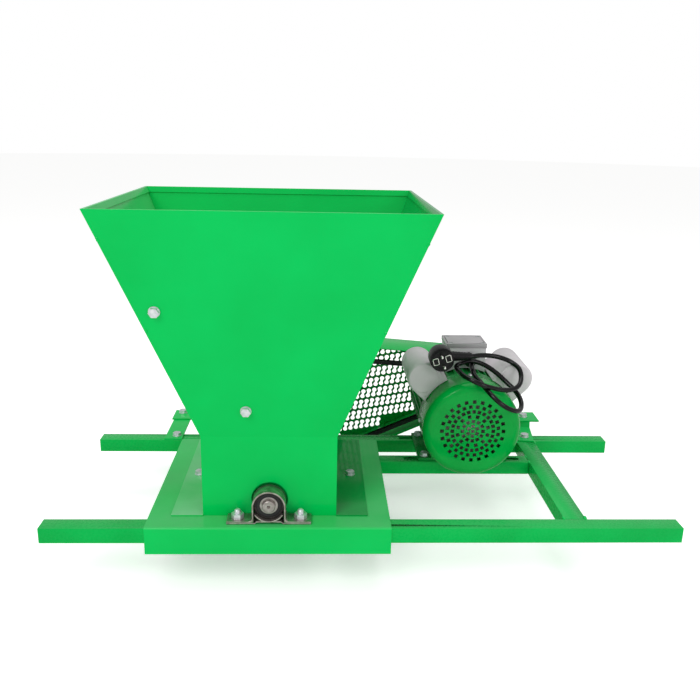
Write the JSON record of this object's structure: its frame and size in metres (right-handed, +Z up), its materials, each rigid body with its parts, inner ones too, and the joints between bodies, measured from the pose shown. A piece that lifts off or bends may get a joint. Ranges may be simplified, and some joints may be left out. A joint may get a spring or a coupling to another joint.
{
  "type": "grape crusher",
  "caption": "Electric grape crusher: sheet hopper over a toothed drum, belt driven by a motor, on two carrying bars laid across a vat.",
  "frame": {"origin": "middle of the front carrying bar's underside", "axes": "+X along the bars towards the motor, +Y from the front bar to the rear bar, +Z up"},
  "size_m": [1, 0.532, 0.593],
  "materials": {
    "frame_paint": "gloss",
    "green_paint": "gloss",
    "motor_paint": "gloss",
    "zinc": "satin",
    "block_steel": "satin",
    "bright_steel": "satin",
    "cast_pulley": "matte",
    "belt_rubber": "matte",
    "grey_plastic": "satin",
    "capacitor_can": "gloss",
    "black_plastic": "satin",
    "block_plastic": "satin",
    "cord_rubber": "matte",
    "pin_chrome": "gloss"
  },
  "bodies": {
    "machine": {"front_bar": "frame_paint", "rear_bar": "frame_paint", "motor_rail": "frame_paint", "cross_tube_outer": "frame_paint", "cross_tube_inner": "frame_paint", "base_tray": "green_paint", "hopper_front_panel": "green_paint", "hopper_rear_panel": "green_paint", "hopper_left_panel": "green_paint", "hopper_right_panel": "green_paint", "feed_baffle": "green_paint", "baffle_bolts": "zinc", "flange_bolts": "zinc", "bearing_bases": "block_steel", "bearing_straps": "block_steel", "drum_bearing_outer_rings": "bright_steel", "bearing_seals": "belt_rubber", "pillow_block_bolts": "zinc", "v_belt": "belt_rubber", "guard_band": "green_paint", "guard_back": "green_paint", "guard_strap_left": "green_paint", "guard_ear_left": "green_paint", "guard_strap_right": "green_paint", "guard_ear_right": "green_paint", "guard_bolts": "zinc", "motor_frame": "motor_paint", "motor_foot_bolts": "zinc", "motor_front_shield": "motor_paint", "motor_rear_shield": "motor_paint", "motor_bearing_outer_rings": "bright_steel", "fan_cover": "green_paint", "fan_cover_screws": "zinc", "stator_core": "bright_steel", "capacitor_cover_left": "grey_plastic", "capacitor_cover_right": "grey_plastic", "capacitors": "capacitor_can", "capacitor_clamps": "black_plastic", "terminal_box": "grey_plastic", "terminal_lid": "grey_plastic", "lid_screws": "zinc", "terminal_block": "block_plastic", "cable_gland": "black_plastic", "plug_body": "black_plastic", "plug_pins": "pin_chrome", "plug_strain_relief": "black_plastic", "power_cord": "cord_rubber"},
    "drum": {"drum_shaft": "bright_steel", "drum_shell": "green_paint", "drum_end_discs": "green_paint", "drum_blades": "bright_steel", "big_pulley": "cast_pulley", "pulley_key": "bright_steel", "drum_bearing_inner_rings": "bright_steel"},
    "rotor": {"motor_shaft": "bright_steel", "motor_key": "bright_steel", "rotor_core": "bright_steel", "cooling_fan": "black_plastic", "small_pulley": "cast_pulley", "motor_bearing_inner_rings": "bright_steel"}
  },
  "joints": [
    {"name": "drum_spin", "type": "hinge", "parent": "machine", "child": "drum", "pos_m": [-0.15, 0, 0.056], "axis": [0, 1, 0], "continuous": true},
    {"name": "rotor_spin", "type": "hinge", "parent": "machine", "child": "rotor", "pos_m": [0.194, 0, 0.115], "axis": [0, 1, 0], "continuous": true}
  ],
  "couplings": [
    {"joint": "rotor_spin", "follows": "drum_spin", "ratio": 3.2105}
  ]
}
